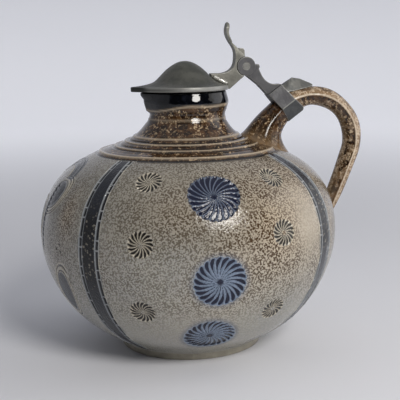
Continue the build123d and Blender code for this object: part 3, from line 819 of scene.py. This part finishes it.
def brown_glaze():
    """The handle's glaze: tan where it ran thin over the loop's outer half, spotted brown inside."""
    f = Finish("brown_salt_glaze", 0.13, 0.0, Specular_IOR_Level=0.42)
    colour, worm = glaze_mottle(f)
    near, across, run = f.value("near_wall"), f.value("across"), f.value("run")
    sockets = ((0, f.math("MULTIPLY", run, 0.45)), (1, f.math("MULTIPLY", across, 9 * MM)), (2, 0.0))
    streaks = f.noise(2.6, 2.0, 0.55, 0.4, f.node("CombineXYZ", sockets).outputs["Vector"])
    spots = f.band(streaks, 0.4, 0.56)
    loop = f.band(run, 0.034, 0.042)
    tan = f.mix(f.band(worm, 0.42, 0.62), rgb(140, 115, 88), rgb(200, 180, 155))
    thin = f.math("MAXIMUM", f.band(across, 0.5, 0.57), f.band(across, 0.16, 0.05, 0.0, 0.7))
    thin = f.math("MAXIMUM", thin, f.band(streaks, 0.54, 0.42, 0.0, 0.5))
    edge = f.math("MULTIPLY", f.band(across, 0.74, 0.86), spots)
    thin = f.math("MULTIPLY", f.math("SUBTRACT", thin, f.math("MULTIPLY", edge, 0.7), True), loop)
    colour = f.mix(f.math("MULTIPLY", thin, 0.9), colour, tan)
    # a pale line along the handle's ridge: glaze thin over it, and a painted highlight
    crest_and_highlight = f.math("MULTIPLY", f.band(across, 0.53, 0.58), f.band(across, 0.66, 0.6))
    crest_and_highlight = f.math("MULTIPLY", crest_and_highlight, loop)
    colour = f.mix(f.math("MULTIPLY", crest_and_highlight, 0.7), colour, rgb(210, 196, 176))
    colour = f.mix(f.math("MULTIPLY", near, 0.55), colour, rgb(150, 124, 92))
    f.put(f.shader.inputs["Base Color"], colour)
    f.put(f.shader.inputs["Roughness"], f.band(worm, 0.4, 0.7, 0.12, 0.22))
    f.put(f.shader.inputs["Normal"], f.bump(f.band(worm, 0.3, 0.7), 0.03))
    return f


def pewter(name, dark, light, roughness, rim=False):
    """Old pewter: dull grey with a drifting tarnish, fine scratches and casting grain."""
    f = Finish(name, roughness, 0.7)
    drift = f.noise(9, 3.0, 0.6)
    grain = f.noise(1.1, 3.0, 0.6)
    spots = f.cells(2.4)
    colour = f.mix(f.band(drift, 0.34, 0.66), dark, light)
    colour = f.mix(f.band(grain, 0.52, 0.7, 0.0, 0.25), colour, rgb(110, 109, 104))
    colour = f.mix(f.band(spots, 0.16, 0.08, 0.0, 0.4), colour, rgb(52, 51, 48))
    edge = f.node("NewGeometry").outputs["Pointiness"]
    # convex edges painted lighter: painted highlight
    colour = f.mix(f.band(edge, 0.505, 0.54, 0.0, 0.7), colour, rgb(168, 168, 163))
    colour = f.mix(f.band(edge, 0.49, 0.43, 0.0, 0.75), colour, rgb(36, 36, 35))
    if rim:
        place = f.node("SeparateXYZ", (("Vector", f.place),))
        # a painted highlight along the brim's outer edge
        below_edge = f.band(place.outputs["Z"], 0.1668, 0.1662)
        rim_highlight = f.math("MULTIPLY", below_edge, f.band(place.outputs["X"], -0.02, -0.005))
        colour = f.mix(rim_highlight, colour, rgb(150, 150, 146))
        # painted shade on the beak, whose side faces away from the light
        colour = f.mix(f.band(place.outputs["X"], -0.024, -0.029), colour, rgb(58, 59, 56))
    f.put(f.shader.inputs["Base Color"], colour)
    f.put(f.shader.inputs["Roughness"], f.band(grain, 0.3, 0.7, roughness - 0.06, roughness + 0.12))
    f.put(f.shader.inputs["Normal"], f.bump(grain, 0.04))
    return f


stoneware().paint(jug)
brown_glaze().paint(grip)
pewter("pewter_lid", rgb(80, 81, 76), rgb(98, 98, 92), 0.46, True).paint(lid)
pewter("pewter_lever", rgb(112, 112, 105), rgb(132, 131, 124), 0.52).paint(lever)
pewter("pewter_shank", rgb(80, 80, 83), rgb(96, 96, 98), 0.54).paint(shank)
pewter("pewter_tongue", rgb(78, 80, 80), rgb(104, 104, 101), 0.44).paint(tongue)
pewter("pewter_strap", rgb(76, 78, 80), rgb(92, 94, 95), 0.54).paint(band)
pewter("pewter_rivet", rgb(112, 112, 110), rgb(130, 130, 127), 0.5).paint(pin)
pewter("tin_solder", rgb(196, 196, 192), rgb(214, 213, 208), 0.26).paint(solder)

# ------------------------------------------------------------------ camera, floor and light
CAMERA_AZIMUTH = -10.0
CAMERA_DISTANCE = 592.2
CAMERA_HEIGHT = 196.9
CAMERA_DOWN = 9.98
CAMERA_YAW = -0.77
CAMERA_ROLL = -1.29
CAMERA_LENS = 83.1


def make_camera():
    """The camera, placed round the jug and then turned by its own small angles."""
    heading = Matrix.Rotation(math.radians(CAMERA_AZIMUTH), 3, "Z")
    yaw = math.radians(CAMERA_YAW)
    down = math.radians(CAMERA_DOWN)
    roll = math.radians(CAMERA_ROLL)
    right = heading @ Vector((math.cos(yaw), math.sin(yaw), 0))
    level = math.cos(down)
    ahead = heading @ Vector((-math.sin(yaw) * level, math.cos(yaw) * level, -math.sin(down)))
    up = right.cross(ahead)
    across = math.cos(roll) * right + math.sin(roll) * up
    upward = math.cos(roll) * up - math.sin(roll) * right
    data = bpy.data.cameras.new("camera")
    data.lens = CAMERA_LENS
    data.sensor_width = 36
    data.clip_start = 0.01
    made = bpy.data.objects.new("camera", data)
    place = heading @ Vector((0, -CAMERA_DISTANCE, CAMERA_HEIGHT)) * MM
    rows = Matrix((across, upward, -ahead)).transposed()
    made.matrix_world = Matrix.Translation(place) @ rows.to_4x4()
    bpy.context.scene.collection.objects.link(made)
    bpy.context.scene.camera = made


SWEEP_FLAT = 1500
SWEEP_BEND = 900
SWEEP_WALL = 3600
SWEEP_SIDES = 96
FRONT_DARK = -700
LEFT_DARK = -750
FLOOR_COLOUR = rgb(222, 223, 228)
WALL_COLOUR = rgb(205, 206, 212)
DARK_COLOUR = rgb(58, 58, 60)
GLOW_COLOUR = rgb(234, 235, 240)
GLOW = 0.46


def make_sweep():
    """A round seamless tent: floor, bend and glowing wall, dark behind the camera and dim at the left."""
    rows = [(0.5, 0), (60, 0), (150, 0), (400, 0), (700, 0), (1100, 0), (SWEEP_FLAT, 0)]
    for angle in range(6, 91, 6):
        a = math.radians(angle)
        rows.append((SWEEP_FLAT + SWEEP_BEND * math.sin(a), SWEEP_BEND * (1 - math.cos(a))))
    rows.append((SWEEP_FLAT + SWEEP_BEND, SWEEP_WALL))
    points = []
    for r, z in rows:
        for j in range(SWEEP_SIDES):
            a = 2 * math.pi * j / SWEEP_SIDES
            points.append((r * math.cos(a), r * math.sin(a), z))
    faces = [face[::-1] for face in tube_faces(len(rows), SWEEP_SIDES)]
    faces.append(list(range(SWEEP_SIDES)))
    mesh = bpy.data.meshes.new("sweep")
    mesh.from_pydata((np.array(points) * MM).tolist(), [], faces)
    mesh.update()
    mesh.shade_smooth()
    made = bpy.data.objects.new("sweep", mesh)
    bpy.context.scene.collection.objects.link(made)
    f = Finish("paper", 0.9, 0.0, Specular_IOR_Level=0.2)
    place = f.node("SeparateXYZ", (("Vector", f.place),))
    lit = f.band(place.outputs["Y"], (FRONT_DARK - 350) * MM, FRONT_DARK * MM)
    left = f.band(place.outputs["X"], (LEFT_DARK - 400) * MM, LEFT_DARK * MM, 0.6, 1.0)
    lit = f.math("MULTIPLY", lit, left)
    far = f.band(f.node("VectorMath", ((0, f.place),), operation="LENGTH").outputs["Value"], 0.3, 1.5)
    tint = f.mix(far, FLOOR_COLOUR, WALL_COLOUR)
    f.put(f.shader.inputs["Base Color"], f.mix(lit, DARK_COLOUR, tint))
    f.put(f.shader.inputs["Emission Color"], GLOW_COLOUR)
    glow = f.band(place.outputs["Z"], 0.02, 0.5, GLOW, 0.7 * GLOW)
    glow = f.math("MULTIPLY", f.math("MULTIPLY", lit, far), glow)
    f.put(f.shader.inputs["Emission Strength"], glow)
    f.paint(made)


def make_light(name, azimuth, elevation, distance, size, power, colour):
    """A round soft lamp aimed at the middle of the jug."""
    a, e = math.radians(azimuth), math.radians(elevation)
    away = Vector((math.sin(a) * math.cos(e), -math.cos(a) * math.cos(e), math.sin(e)))
    data = bpy.data.lights.new(name, "AREA")
    data.shape = "DISK"
    data.size = size * MM
    data.energy = power
    data.color = colour
    made = bpy.data.objects.new(name, data)
    made.location = Vector((0, 0, 95 * MM)) + away * distance * MM
    made.rotation_mode = "QUATERNION"
    made.rotation_quaternion = away.to_track_quat("Z", "Y")
    bpy.context.scene.collection.objects.link(made)


def make_world(strength):
    """Even, faintly cool light from all round."""
    world = bpy.data.worlds.new("studio")
    world.use_nodes = True
    back = world.node_tree.nodes["Background"]
    back.inputs["Color"].default_value = (0.96, 0.97, 1.0, 1.0)
    back.inputs["Strength"].default_value = strength
    bpy.context.scene.world = world


make_camera()
make_sweep()
make_light("key", 18, 33, 1100, 400, 8.0, (1.0, 0.97, 0.93))
make_light("side", 84, 16, 1300, 1400, 5.0, (1.0, 0.98, 0.95))
make_world(0.5)
bpy.context.scene.view_settings.view_transform = "Standard"
